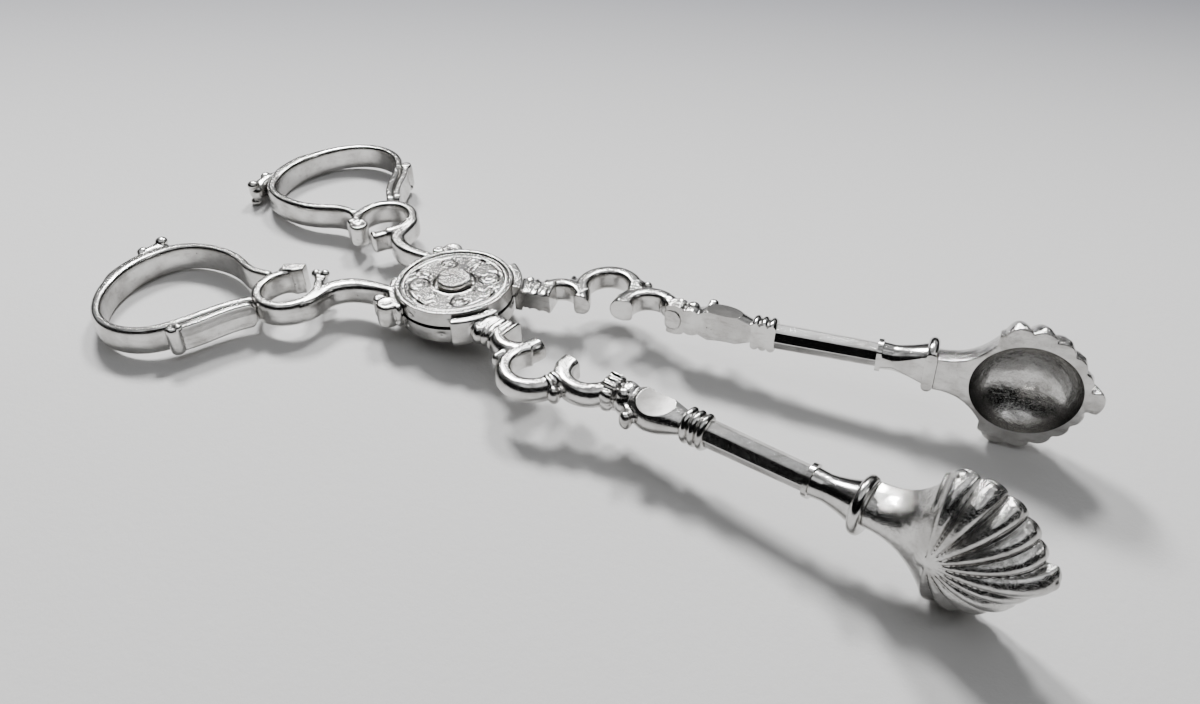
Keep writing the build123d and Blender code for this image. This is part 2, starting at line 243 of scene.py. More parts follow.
# %% [markdown]
# ## From skins to a casting
# Molten silver fills a mould as one mass, so where two scrolls meet there is a soft fillet, not
# a knife-sharp line. A voxel remesh does the same: it melts overlapping skins into one, and a
# short smoothing relaxes the creases. A section that was turned on a lathe or filed flat keeps
# its own crisp grid. Each finished mesh also stores how hollow it is at each point, because
# tarnish stays in hollows and wears off edges.


# %% Meshes and castings
def in_scene(name, data):
    """A new object that holds this data, linked into the scene."""
    thing = bpy.data.objects.new(name, data)
    bpy.context.scene.collection.objects.link(thing)
    return thing


def plain_mesh(skins):
    """A mesh of the skins as they are, smooth, with its creases kept sharp."""
    points, faces = joined(skins)
    mesh = bpy.data.meshes.new("plain")
    mesh.from_pydata(points.tolist(), [], faces)
    mesh.shade_smooth()
    mesh.set_sharp_from_angle(angle=np.radians(38))
    return mesh


def reshaped(mesh, settings):
    """A copy of the mesh with modifiers applied, given as (kind, settings) pairs."""
    work = in_scene("work", mesh)
    for kind, values in settings:
        modifier = work.modifiers.new(kind, kind)
        for name, value in values.items():
            setattr(modifier, name, value)
    graph = bpy.context.evaluated_depsgraph_get()
    result = bpy.data.meshes.new_from_object(work.evaluated_get(graph))
    bpy.data.objects.remove(work)
    result.shade_smooth()
    return result


def cast(skins, grain=0.1, relax=5):
    """Skins melted into one casting: voxels as fine as the grain, then a little smoothing."""
    return reshaped(
        plain_mesh(skins),
        [
            ("REMESH", {"mode": "VOXEL", "voxel_size": grain}),
            ("SMOOTH", {"factor": 0.5, "iterations": relax}),
        ],
    )


print("a casting is melted with voxels of", cast.__defaults__[0], "mm")


# %% Points, stored numbers and pieces
def points_of(mesh):
    """The mesh's points as an (n, 3) array."""
    points = np.empty(3 * len(mesh.vertices), np.float32)
    mesh.vertices.foreach_get("co", points)
    return points.reshape(-1, 3).astype(float)


def move_points(mesh, points):
    """Gives the mesh new places for its points."""
    mesh.vertices.foreach_set("co", points.astype(np.float32).ravel())
    mesh.update()


def store(mesh, name, values):
    """Keeps one number for each point under a name that a finish can read."""
    layer = mesh.attributes.new(name, "FLOAT", "POINT")
    layer.data.foreach_set("value", values.astype(np.float32))


def hollowness(mesh, rounds=3):
    """How hollow the surface is: the mean of a point's neighbours less the point, along its
    normal, over the mean edge length squared, averaged over the neighbours a few times."""
    points, count = points_of(mesh), len(mesh.vertices)
    normals = np.empty(3 * count, np.float32)
    mesh.vertex_normals.foreach_get("vector", normals)
    edges = np.empty(2 * len(mesh.edges), np.int32)
    mesh.edges.foreach_get("vertices", edges)
    a, b = edges.reshape(-1, 2).T
    ends, others = np.r_[a, b], np.r_[b, a]
    friends = np.maximum(np.bincount(ends, minlength=count), 1)

    def neighbours_mean(values):
        return np.bincount(ends, weights=values[others], minlength=count) / friends

    away = np.stack([neighbours_mean(points[:, side]) for side in range(3)], -1) - points
    lengths = np.linalg.norm(points[ends] - points[others], axis=1)
    length = np.bincount(ends, weights=lengths, minlength=count) / friends
    value = (away * normals.reshape(-1, 3)).sum(1) / np.maximum(length, 1e-4) ** 2
    value = np.clip(value, -8, 8)
    for _ in range(rounds):
        value = 0.5 * value + 0.5 * neighbours_mean(value)
    return value


def add_piece(name, mesh, node, finish, is_jaw=False, arms=ARMS):
    """One finished piece for each arm: the same casting, placed as that arm lies."""
    if "hollow" not in mesh.attributes:
        store(mesh, "hollow", hollowness(mesh))
    shape = points_of(mesh)
    for arm in arms:
        own = mesh.copy()
        move_points(own, place(open_jaw(shape) if is_jaw else shape, arm))
        own.materials.clear()
        own.materials.append(finish)
        piece = in_scene(f"{arm}_{name}", own)
        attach(piece, f"{arm}_arm")
        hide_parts(f"{arm}_{node}")
    print(f"{name}: {len(shape)} points, {len(mesh.polygons)} faces on each of {arms}")


print("every piece will be made for the arms", ARMS, "and ride", [f"{arm}_arm" for arm in ARMS])

# %% [markdown]
# ## Shader maths
# A finish is a network of shader nodes. To write it as sums, a small class wraps a socket, and
# an operator on it adds the Math node that works it out.


# %% A socket that can be calculated with
class Value:
    """A number that varies over the surface."""

    def __init__(self, finish, socket):
        self.finish, self.socket = finish, socket

    def maths(self, operation, *values):
        """A Math node on these values."""
        return self.finish.node("ShaderNodeMath", {"operation": operation}, *values)

    def __add__(self, other):
        return self.maths("ADD", self, other)

    def __sub__(self, other):
        return self.maths("SUBTRACT", self, other)

    def __rsub__(self, other):
        return self.maths("SUBTRACT", other, self)

    def __mul__(self, other):
        return self.maths("MULTIPLY", self, other)

    __radd__, __rmul__ = __add__, __mul__

    def ramp(self, low, high):
        """0 below low, 1 above high, and a smooth step between."""
        settings = {"interpolation_type": "SMOOTHSTEP"}
        return self.finish.node("ShaderNodeMapRange", settings, self, low, high)


class Network:
    """A network of shader nodes that is being written."""

    def __init__(self, owner):
        owner.use_nodes = True
        self.tree = owner.node_tree
        self.tree.nodes.clear()

    def plug(self, socket, value):
        """Links a varying value to the socket, or sets the socket to a plain one."""
        if isinstance(value, Value):
            self.tree.links.new(value.socket, socket)
        elif value is not None:
            socket.default_value = value

    def node(self, kind, settings=None, *values, output=0, **named):
        """Adds a node: first its settings, then the values or links of its sockets."""
        node = self.tree.nodes.new(kind)
        for name, value in (settings or {}).items():
            setattr(node, name, value)
        for socket, value in zip(node.inputs, values):
            self.plug(socket, value)
        for name, value in named.items():
            self.plug(node.inputs[name.replace("_", " ")], value)
        return Value(self, node.outputs[output])


print("sums of sockets:", [name for name in vars(Value) if name.endswith(("add__", "sub__", "mul__"))])


# %% A finish being written
class Finish(Network):
    """A material being written, with the shader that its nodes feed."""

    def __init__(self, name):
        self.material = bpy.data.materials.new(name)
        super().__init__(self.material)
        output = self.tree.nodes.new("ShaderNodeOutputMaterial")
        self.shader = self.tree.nodes.new("ShaderNodeBsdfPrincipled")
        self.tree.links.new(self.shader.outputs[0], output.inputs[0])

    def place(self):
        """Where the point is on the object, in millimetres."""
        spot = self.node("ShaderNodeTexCoord", output="Object")
        return self.node("ShaderNodeVectorMath", {"operation": "SCALE"}, spot, Scale=1 / MM)

    def stretched(self, turn, sizes):
        """The place, turned and then scaled along each axis."""
        mapping = {"vector_type": "TEXTURE"}
        return self.node(
            "ShaderNodeMapping", mapping, Vector=self.place(), Rotation=turn, Scale=sizes
        )

    def noise(self, size, detail=3.0, rough=0.55, where=None):
        """Soft noise from 0 to 1, with features of about the given size in millimetres."""
        return self.node(
            "ShaderNodeTexNoise", None, Vector=where or self.place(), Scale=1 / size,
            Detail=detail, Roughness=rough,
        )

    def kept(self, name):
        """A number that was stored on the mesh."""
        return self.node("ShaderNodeAttribute", {"attribute_name": name}, output="Fac")

    def blend(self, share, first, second):
        """From the first colour to the second."""
        mix = {"data_type": "RGBA"}
        colours = [c if isinstance(c, Value) else (*c, 1.0) for c in (first, second)]
        node = self.node("ShaderNodeMix", mix, output=2)
        self.plug(node.socket.node.inputs["Factor"], share)
        self.plug(node.socket.node.inputs[6], colours[0])
        self.plug(node.socket.node.inputs[7], colours[1])
        return node

    def bump(self, height, depth, below=None):
        """Raises the surface by a height from 0 to 1, times a depth in millimetres."""
        return self.node(
            "ShaderNodeBump", None, Strength=1.0, Distance=depth * MM, Height=height, Normal=below
        )

    def wear(self, **sockets):
        """Sets the shader's own sockets."""
        for name, value in sockets.items():
            self.plug(self.shader.inputs[name.replace("_", " ")], value)
        return self.material


print("patterns a finish can use:", [name for name in vars(Finish) if not name.startswith("_")])

# %% [markdown]
# ## Silver
# Polished silver is a mirror, so nearly all that one sees is the room. What makes it silver and
# not chrome is small: the surface rolls a little because it was hand polished, fine scratches
# run every way, casting pits stay open, and a warm grey tarnish sits in the hollows, where the
# cloth doesn't reach. One function writes the metal, and the pieces ask for more or less of each.

# %% The silver finishes
CLEAN = (0.66, 0.652, 0.638)
CLOUDED = (0.26, 0.248, 0.23)
TARNISH = (0.035, 0.03, 0.026)
BRUSHED = (0.11, 0.108, 0.104)
WORN = (0.46, 0.455, 0.445)
GRAIN_DEPTH, BRUSH_DEPTH, PIT_DEPTH = 0.0015, 0.006, 0.03
# Three sets of scratches, each with its turn and its stretch along the three axes.
SCRATCHES = (
    ((0.3, 0.1, 0.5), (2.6, 0.06, 0.09)),
    ((0.9, 0.4, 1.9), (0.07, 2.2, 0.06)),
    ((0.2, 1.2, 2.7), (1.8, 0.08, 0.05)),
)


def silver(
    name, gloss=0.15, roll=0.03, scratch=0.003, pits=0.5, tarnish=0.8, matte=None, clean=CLEAN
):
    """Polished silver. Roll and scratch are depths in millimetres, gloss is the roughness of the
    cleanest metal, pits and tarnish say how much of each there is, and matte names a stored
    mask of brushed patches."""
    f = Finish(name)
    hollow = f.kept("hollow")
    cloud = f.noise(3.2, 4.0, 0.6)
    grain = f.noise(0.28, 4.0, 0.65)
    scored = sum(
        f.noise(1.0, 2.0, 0.5, f.stretched(turn, sizes)).ramp(0.56, 0.74)
        for turn, sizes in SCRATCHES
    )
    spot = f.node("ShaderNodeTexVoronoi", {"feature": "F1"}, Vector=f.place(), Scale=0.9)
    rare = f.noise(2.1, 1.0, 0.5).ramp(0.56, 0.66)
    pit = (1 - spot.ramp(0.05, 0.14)) * rare * pits
    in_hollow = (hollow + (grain - 0.5) * 0.8).ramp(0.25, 2.2)
    film = in_hollow * tarnish + pit
    dirt = film.ramp(0.0, 1.0)
    streaks = f.noise(1.0, 4.0, 0.65, f.stretched((0, 0, 0.5), (5.0, 0.9, 0.7)))
    clouded = cloud.ramp(0.38, 0.66) * 0.45 + streaks.ramp(0.5, 0.72) * 0.3
    colour = f.blend(clouded, clean, CLOUDED)
    colour = f.blend(dirt, colour, TARNISH)
    rough = gloss + cloud.ramp(0.4, 0.7) * 0.07 + scored * 0.05 + dirt * 0.3
    normal = f.bump(f.noise(1.7, 2.0, 0.5), roll)
    if matte:
        patch = f.kept(matte)
        brushed = f.noise(1.0, 3.0, 0.6, f.stretched((0, 0, 0.5), (1.6, 0.07, 0.3)))
        rough = rough + patch * 0.2
        colour = f.blend(patch * 0.85, colour, BRUSHED)
        normal = f.bump(brushed * patch, BRUSH_DEPTH, normal)
    normal = f.bump(grain, GRAIN_DEPTH, normal)
    normal = f.bump(scored, scratch, normal)
    normal = f.bump(1 - pit, PIT_DEPTH, normal)
    return f.wear(Base_Color=colour, Metallic=1.0, Roughness=rough, Normal=normal)


cast_silver = silver("cast silver, polished", matte="matte")
turned_silver = silver(
    "turned silver, burnished", gloss=0.11, roll=0.012, scratch=0.0015, pits=0.25, tarnish=0.7
)
engraved_silver = silver("engraved silver, worn", roll=0.008, tarnish=1.5, clean=WORN)
bowl_silver = silver(
    "shell silver, scratched", gloss=0.13, roll=0.11, scratch=0.006, pits=0.1, tarnish=0.9
)
pin_silver = silver("pin silver, dull", gloss=0.26, tarnish=1.0)
print("finishes:", [m.name for m in bpy.data.materials])

# %% [markdown]
# ## The finger ring
# The ring is a tall strip bent into a heart, so that a thumb or finger fits flat against it.
# Its line starts and ends on the back of the C scroll. Where the leaf wraps it at the far end
# the strip is thicker and crossed by cut ridges.

# %% The C scroll's circle and the ring's line
SCROLL_RADIUS = 3.85
SCROLL_CENTRE = (-14.75 - SCROLL_RADIUS, -9.8)
RING_NEAR = SCROLL_CENTRE[0] - SCROLL_RADIUS + 0.25
RING_SIZE = 19.5
RING_INNER = -7.0
RING_HALF_HEIGHT = 1.8


def ring_point(along, across):
    """A point of the ring from its share along the ring's length and across its width."""
    return RING_NEAR - along * RING_SIZE, RING_INNER - across * RING_SIZE


ring_line = smooth_line(
    [
        on_circle(SCROLL_CENTRE, SCROLL_RADIUS, 158),
        ring_point(0.17, 0.09),
        ring_point(0.33, 0.035),
        ring_point(0.575, 0.005),
        ring_point(0.83, 0.1),
        ring_point(0.957, 0.43),
        ring_point(0.87, 0.73),
        ring_point(0.53, 0.97),
        ring_point(0.28, 0.9),
        ring_point(0.13, 0.69),
        ring_point(0.01, 0.46),
        on_circle(SCROLL_CENTRE, SCROLL_RADIUS + 0.1, 246),
    ],
    520,
)
print("the ring's line is", round(travelled_along(ring_line)[-1], 1), "mm")


# %% The finger ring
def swell(share, start, finish, soft):
    """0 outside a stretch and 1 inside it, with smooth steps at both ends."""
    rise = np.clip((share - start) / soft, 0, 1)
    fall = np.clip((finish - share) / soft, 0, 1)
    both = rise * fall
    return both * both * (3 - 2 * both)


RIDGES_ROUND = 170
share = np.linspace(0, 1, len(ring_line))[:, None]
wrap = swell(share, 0.35, 0.5, 0.04)
broad = swell(share, 0.22, 0.62, 0.16)
ridges = 0.1 * wrap * np.abs(np.sin(np.pi * share * RIDGES_ROUND))
sideways, tall = section(
    0.62 + 0.32 * broad, 0.72 + 0.35 * wrap + ridges, RING_HALF_HEIGHT + ridges, 5, 3.2, 72
)
ring = cast([strip(ring_line, sideways, tall, 0.9, 0.9)], 0.1, 3)
add_piece("ring_band", ring, "finger_ring", cast_silver)

# %% [markdown]
# ## The leaves on the ring
# A long leaf is laid on the ring's outer side. Its middle is hollowed, so that its upper and
# lower edges stand out as thin lines, and it ends in an upright rib. A second, small leaf curls
# off the far end like a bud with two points.

# %% The leaf beside the scroll, and its rib
LEAF_SHARES = (0.815, 0.992)
LEAF_OUTS = (1.15, 1.3, 1.2, 1.05, 0.9)
LEAF_HALF_HEIGHT = 1.72
leaf_shares = np.linspace(*LEAF_SHARES, len(LEAF_OUTS))
leaf_spots = [beside(ring_line, share, out) for share, out in zip(leaf_shares, LEAF_OUTS)]
leaf_line = smooth_line(leaf_spots, 160)
sideways, tall = section(0.55, 0.52, LEAF_HALF_HEIGHT, 6, 7, 72)
hollowed = np.where(sideways < 0, 0.3 * (1 - (tall / LEAF_HALF_HEIGHT) ** 2) ** 1.4, 0)
rib_spot = leaf_spots[0]
leaf = cast(
    [
        strip(leaf_line, sideways + hollowed, tall, 0, 0.9),
        post(rib_spot, 0.92, -2.0, 1.95, 5, 0.1),
        bead(rib_spot[0] + 0.5, rib_spot[1] + 0.4, 1.7, 0.6, 0.5, 0.4),
    ],
    0.09,
    3,
)
add_piece("ring_leaf_panel", leaf, "ring_leaf", cast_silver)

# %% The curled leaf at the far end
BUD_SPOTS = ((0.40, 0.9), (0.375, 1.2), (0.35, 1.8), (0.33, 2.5), (0.32, 3.2))
bud_line = smooth_line([beside(ring_line, *spot) for spot in BUD_SPOTS], 90)
share = np.linspace(0, 1, len(bud_line))[:, None]
width = 0.5 + 0.85 * share**1.2
sideways, tall = section(width, width, 1.1 + 0.4 * np.sin(np.pi * share), 2.6, 2.6)
tip = beside(ring_line, 0.325, 2.8)
heel = beside(ring_line, 0.365, 1.9)
bud = cast(
    [strip(bud_line, sideways, tall, 1.0, 0.9)]
    + [bead(*tip, z, 0.85, 0.85, 0.6) for z in (-1.3, 1.3)]
    + [bead(*heel, z, 0.6, 0.8, 0.5) for z in (-1.3, 1.3)],
    0.08,
    4,
)
add_piece("curled_leaf", bud, "end_leaf", cast_silver)

# %% [markdown]
# ## The C scroll and the stem
# The C scroll closes the heart. It is one strip bent round a mandrel, and its far end turns back
# as a tip. The silversmith finished the two arms by hand, so their scrolls end differently. The
# upper one starts in a square block with a hollow in its side, and small curls sit on its tip.
# The lower one starts in a round roll, and its tip is broad and flat. Both share the same skins,
# so only the ends are made twice. From the scroll's side the stem runs in an S to the hinge,
# where a rolled volute stands and a curved collar hugs the disc.

# %% What both C scrolls share
STRIP_HALF_HEIGHT = 1.6
TIP_LENGTH = 2.5
TIP_WAY = 125
sideways, tall = section(0.72, 0.8, STRIP_HALF_HEIGHT, 5, 3)
scroll_line = arc(SCROLL_CENTRE, SCROLL_RADIUS, 125, 412, 260)
tip_start = on_circle(SCROLL_CENTRE, SCROLL_RADIUS, 45)
tip_line = np.linspace(tip_start, on_circle(tip_start, TIP_LENGTH, TIP_WAY), 40)
tip_share = np.linspace(0, 1, len(tip_line))[:, None]
tip_across, tip_tall = section(0.7 + 0.25 * tip_share**2, 0.7 + 0.15 * tip_share**2, 1.35, 5, 5)
c_skins = [
    strip(scroll_line, sideways, tall, 0.3, 0.3),
    post(on_circle(SCROLL_CENTRE, SCROLL_RADIUS + 0.75, 140), 0.62, -1.55, 1.55, 4),
    strip(tip_line, tip_across, tip_tall, 0.3, 0.5),
]
print("the scroll's strip is", round(travelled_along(scroll_line)[-1], 1), "mm long")

# %% The upper arm's C scroll, with its square block
block_line = smooth_line([(-22.0, -6.9), (-20.9, -6.15), (-19.4, -5.5)], 60)
block_way = np.linspace(-1, 1, len(block_line))[:, None]
block_across, block_tall = section(0.72, 0.8, 1.9, 9, 9)
side_hollow = 0.35 * np.exp(-((block_way / 0.45) ** 2))
block_across = block_across - side_hollow * (block_across < 0)
square_end = strip(block_line, block_across, block_tall, 0, 0.15)
curl_x, curl_y = on_circle(tip_start, TIP_LENGTH - 0.3, TIP_WAY)
curls = [
    bead(curl_x + side, curl_y + 0.4 * side, z, 0.62, 0.6, 0.5)
    for side in (-0.55, 0.55)
    for z in (1.25, -1.25)
]
c_scroll = cast([*c_skins, square_end, *curls], 0.09, 3)
add_piece("c_scroll", c_scroll, "handle_scroll", cast_silver, arms=("upper",))

# %% The lower arm's C scroll, with its round roll
FLAT_PART = slice(25, None)
round_end = post(on_circle(SCROLL_CENTRE, SCROLL_RADIUS, 119), 1.3, -1.85, 1.75, 5, 0.5)
flat_tip = strip(tip_line[FLAT_PART], tip_across[FLAT_PART] + 0.15, 1.06 * tip_tall, 0.2, 0.4)
c_scroll = cast([*c_skins, round_end, flat_tip], 0.09, 3)
add_piece("c_scroll", c_scroll, "handle_scroll", cast_silver, arms=("lower",))

# %% The stem, its volute and the collar round the disc
DISC_RADIUS = 7.25
DISC_INNER = 0.15


def clear_of_discs(mesh, own=0.03, other=0.28):
    """Points nearer to the hinge than the discs are pushed out to just clear of them: of the
    arm's own disc above the middle plane, and of the other arm's disc below it."""
    points = points_of(mesh)
    reach = np.hypot(points[:, 0], points[:, 1])
    limit = DISC_RADIUS + np.where(points[:, 2] > DISC_INNER, own, other)
    points[:, :2] *= np.maximum(1, limit / reach)[:, None]
    move_points(mesh, points)


stem_line = smooth_line(
    [
        on_circle(SCROLL_CENTRE, SCROLL_RADIUS + 0.05, -52),
        on_circle(SCROLL_CENTRE, SCROLL_RADIUS + 0.15, -18),
        (-14.2, -7.2),
        (-12.4, -5.3),
        (-10.1, -4.6),
        on_circle((0, 0), DISC_RADIUS + 0.7, 213),
    ],
    150,
)
share = np.linspace(0, 1, len(stem_line))[:, None]
thick = 0.8 + 0.3 * np.sin(np.pi * share) ** 1.5
sideways, tall = section(thick, thick, STRIP_HALF_HEIGHT - 0.1 * np.sin(np.pi * share), 4.5, 3)
hug_line = arc((0, 0), DISC_RADIUS + 0.62, 193, 247, 130)
hug_share = np.linspace(0, 1, len(hug_line))[:, None]
hug_thick = 0.62 - 0.18 * hug_share**3
hug_across, hug_tall = section(0.62, hug_thick, STRIP_HALF_HEIGHT - 0.1 * hug_share, 6, 3)
hug_groove = np.where(np.abs(np.abs(hug_tall) - 0.75) < 0.16, 0.1, 0) * (hug_across < 0)
stem = cast(
    [
        strip(stem_line, sideways, tall, 2.5, 0),
        strip(hug_line, hug_across + hug_groove, hug_tall, 0.3, 0.6),
        post(on_circle((0, 0), 8.75, 233), 1.4, -1.72, 1.72, 5, 0.25),
        post(on_circle((0, 0), 9.35, 222), 0.85, -1.5, 1.5, 5, 0.15),
    ],
    0.1,
    4,
)
clear_of_discs(stem)
add_piece("s_stem", stem, "handle_stem", cast_silver)

# %% [markdown]
# ## The jaw's root and its three scrolls
# The jaw grows out of the disc through a fluted block that is flat on the inside, and a curved
# plate on the block's root hugs the disc's edge. After it come three C scrolls with a round outer
# side and a flat inner one. Their tips were cut off and filed flat, a little further out from the
# middle than the block's face.

# %% The fluted shoulder
SHOULDER_FACE = 1.4
SHOULDER_LINE = ((6.3, 3.4), (12.0, 3.6))


def flat_inside(mesh, face):
    """Points past the flat inner face are filed back to it."""
    points = points_of(mesh)
    points[:, 1] = np.maximum(points[:, 1], face)
    move_points(mesh, points)


root_line = np.linspace(*SHOULDER_LINE, 150)
station = root_line[:, :1]
small_rings = swell(station, 7.2, 9.0, 0.3) * np.abs(np.sin(np.pi * (station - 7.2) / 0.6)) ** 0.7
crest = (1 - np.abs(np.sin(np.pi * (station - 9.25) / 1.25))) ** 1.3 * swell(station, 8.6, 13, 0.4)
flare = np.clip((station - 8.9) / 2.6, 0, 1)
out = 1.55 + 0.22 * small_rings + 0.35 * flare + 0.4 * crest
up = 1.1 + 0.18 * small_rings + 0.25 * flare + 0.28 * crest
sideways, tall = section(out, 3.4 - SHOULDER_FACE + 0.3, up, 2.4, 6)
plate_line = arc((0, 0), DISC_RADIUS + 0.55, 8, 51, 90)
plate_across, plate_tall = section(0.55, 0.72, 1.75, 7, 7)
shoulder = cast(
    [
        strip(root_line, sideways, tall),
        strip(plate_line, plate_across, plate_tall + 0.1, 0.15, 0.15),
        bead(8.2, 4.6, 0, 0.8, 1.0, 1.25),
    ],
    0.09,
    3,
)
flat_inside(shoulder, SHOULDER_FACE)
clear_of_discs(shoulder)
add_piece("fluted_shoulder", shoulder, "jaw_shoulder", cast_silver, is_jaw=True)

# %% The row of three scrolls
TIP_FACE = 2.4
SCROLL_HALF_HEIGHT = 1.4
SMALL, BIG, THIRD = (13.0, 2.5), (18.1, 6.3), (24.1, 3.3)


def c_band(centre, radius, start, finish, fat_finish=0.0):
    """A C scroll: flat inside and round outside. It may grow wider towards its end by the
    fourth power of the way."""
    line = arc(centre, radius, start, finish, 200)
    extra = fat_finish * np.linspace(0, 1, len(line))[:, None] ** 4
    half_height = SCROLL_HALF_HEIGHT + 0.3 * extra
    sideways, tall = section(0.95 + extra, 1.15 + extra, half_height, 4, 2.1, 72)
    return strip(line, sideways, tall)


def band_ring(centre, radius, angle, width, out):
    """A raised ring round a C scroll, at one angle of its circle."""
    reach = np.degrees(width / radius)
    line = arc(centre, radius, angle - reach, angle + reach, 40)
    sideways, tall = section(1.1, 1.2 + out, SCROLL_HALF_HEIGHT + 0.2, 3.5, 2.2)
    return strip(line, sideways, tall, 0.8 * width, 0.8 * width)


spike_line = smooth_line([(14.2, 4.9), (13.45, 6.2), (13.0, 7.7)], 60)
share = np.linspace(0, 1, len(spike_line))[:, None]
thick = 0.85 - 0.45 * share
spike_across, spike_tall = section(thick, thick, 1.25 - 0.5 * share, 2.4, 2.4)
scrolls = cast(
    [
        c_band(SMALL, 2.75, 0, 152),
        c_band(BIG, 3.4, -44, 226),
        c_band(THIRD, 3.2, -8, 186, fat_finish=0.4),
        strip(spike_line, spike_across, spike_tall, 0.3, 0.5),
        band_ring(BIG, 3.45, 22, 0.42, 0.3),
        band_ring(BIG, 3.45, 6, 0.42, 0.25),
        bead(22.6, 8.2, 0.0, 0.75, 0.8, 1.1),
        bead(26.1, 5.6, 0.0, 1.1, 1.3, 1.5),
    ],
    0.1,
    4,
)
flat_inside(scrolls, TIP_FACE)
add_piece("three_scrolls", scrolls, "jaw_scrolls", cast_silver, is_jaw=True)

# %% [markdown]
# ## Turned work: baluster, ferrule, rod, socket and collar
# The middle of the jaw looks like turned work: a profile turned about the arm's own line, then
# filed flat on the inside so that the two jaws close face to face. The baluster's full belly has
# a leaf-shaped facet filed on it, above and below, and brushed matte. A curled spur and a few
# lobes grow from its root.

# %% A turned skin
ARM_AXIS = 3.55


def turned(stations, radii, squash=1.0, face=None, count=96):
    """A profile turned about the arm's line: a point's distances are the radius times cosine
    and sine of the turn. Points past the flat face are filed back to it."""
    turn = np.linspace(0, 2 * np.pi, count, endpoint=False)
    x, r = (np.asarray(v, float)[:, None] for v in (stations, radii))
    rows = grid(x, ARM_AXIS + r * np.cos(turn), squash * r * np.sin(turn))
    if face is not None:
        rows[..., 1] = np.maximum(rows[..., 1], face)
    return tube(rows)


# %% The baluster
BALUSTER = (26.6, 37.0)
BALUSTER_FACE = 2.95
x = np.linspace(*BALUSTER, 180)
root = swell(x, BALUSTER[0] - 1, 28.6, 0.3)
knop = np.sqrt(np.clip(1 - ((x - 29.55) / 1.05) ** 2, 0, 1))
belly = np.clip((x - 30.2) / (BALUSTER[1] - 30.2), 0, 1)
body_radius = 1.7 + 1.35 * np.sin(np.pi * belly**0.8) ** 1.1
radius = np.maximum(root * 2.35 + (1 - root) * body_radius, 1.5 + 0.95 * knop)
spur_line = smooth_line([(28.3, 5.2), (29.6, 5.25), (30.75, 5.75), (31.4, 6.75), (31.25, 7.75)], 90)
share = np.linspace(0, 1, len(spur_line))[:, None]
bulb = 0.45 + 0.42 * swell(share, 0.55, 1.2, 0.4)
spur_across, spur_tall = section(bulb, bulb, bulb + 0.3, 2.4, 2.4)
root_lobes = []
for side in (1, -1):
    root_lobes.append(bead(29.5, 4.6, 0.95 * side, 0.95, 0.95, 0.9))
    root_lobes.append(bead(27.7, 5.6, 0.5 * side, 0.95, 0.65, 0.9))
    for k in range(3):
        root_lobes.append(bead(27.6, 3.0 + 0.85 * k, side * (1.72 - 0.1 * k), 1.1, 0.34, 0.34))
spur = strip(spur_line, spur_across, spur_tall, 0.4, 0.75)
baluster = cast([turned(x, radius, 0.76), spur, *root_lobes], 0.1, 3)
flat_inside(baluster, BALUSTER_FACE)

# %% The baluster's brushed facet
FACET_MIDDLE, FACET_REACH = 34.0, 2.75
points = points_of(baluster)
along = (points[:, 0] - FACET_MIDDLE) / FACET_REACH
facet = 1.72 + 0.3 * along**2 - 0.2 * (points[:, 1] - ARM_AXIS)
on_facet = (np.abs(points[:, 2]) > facet) & (points[:, 0] > 30.9) & (points[:, 0] < 36.9)
points[:, 2] = np.where(on_facet, np.sign(points[:, 2]) * facet, points[:, 2])
move_points(baluster, points)
store(baluster, "matte", on_facet.astype(float))
add_piece("baluster_body", baluster, "baluster", cast_silver, is_jaw=True)

# %% The ferrule of three rings
FERRULE = (37.0, 39.9)
x = np.linspace(*FERRULE, 73)
wave = np.abs(np.sin(np.pi * 3 * (x - FERRULE[0]) / (FERRULE[1] - FERRULE[0]))) ** 0.75
ferrule = plain_mesh([turned(x, 1.75 + 0.36 * wave, 1.0, 2.55)])
add_piece("ringed_ferrule", ferrule, "ferrule", turned_silver, is_jaw=True)

# %% The eight-sided rod
ROD = (39.9, 51.5)
ROD_FLATS = 2.9
ROD_TAPER = 0.12
ROD_TURN = np.radians(-6)
WORN_CORNER = 0.985
x = np.linspace(*ROD, 30)[:, None]
eighth = np.pi / 4
turn = np.linspace(0, 2 * np.pi, 96, endpoint=False)
to_flat = np.mod(turn - ROD_TURN, eighth) - eighth / 2
half = ROD_FLATS / 2 - ROD_TAPER * np.linspace(0, 1, len(x))[:, None]
radii = np.minimum(half / np.cos(to_flat), half / np.cos(eighth / 2) * WORN_CORNER)
rod = plain_mesh([tube(grid(x, ARM_AXIS + radii * np.cos(turn), radii * np.sin(turn)))])
rod.set_sharp_from_angle(angle=np.radians(14))
add_piece("eight_sided_rod", rod, "rod", turned_silver, is_jaw=True)

# %% The waisted socket
SOCKET = (51.5, 56.8)
x = np.linspace(*SOCKET, 70)
lip = swell(x, SOCKET[0] - 1, SOCKET[0] + 0.75, 0.18)
flare = (x - SOCKET[0] - 1.8) / (SOCKET[1] - SOCKET[0] - 1.8)
cone = 1.5 + 0.85 * np.clip(flare, 0, 1) ** 1.5 + 0.28 * np.clip(-flare, 0, 1)
socket = plain_mesh([turned(x, np.maximum(cone, 1.88 * lip), 1.0, 2.1)])
add_piece("waisted_socket", socket, "socket", turned_silver, is_jaw=True)

# %% The round collar
COLLAR = (56.8, 58.05)
half_length = (COLLAR[1] - COLLAR[0]) / 2
a = np.linspace(-1, 1, 41)
x = (COLLAR[0] + COLLAR[1]) / 2 + half_length * a
bulge = 2.55 + 0.6 * np.sqrt(1 - 0.98 * a**2)
collar = plain_mesh([turned(x, bulge, 1.0, 1.75)])
add_piece("round_collar", collar, "collar", turned_silver, is_jaw=True)

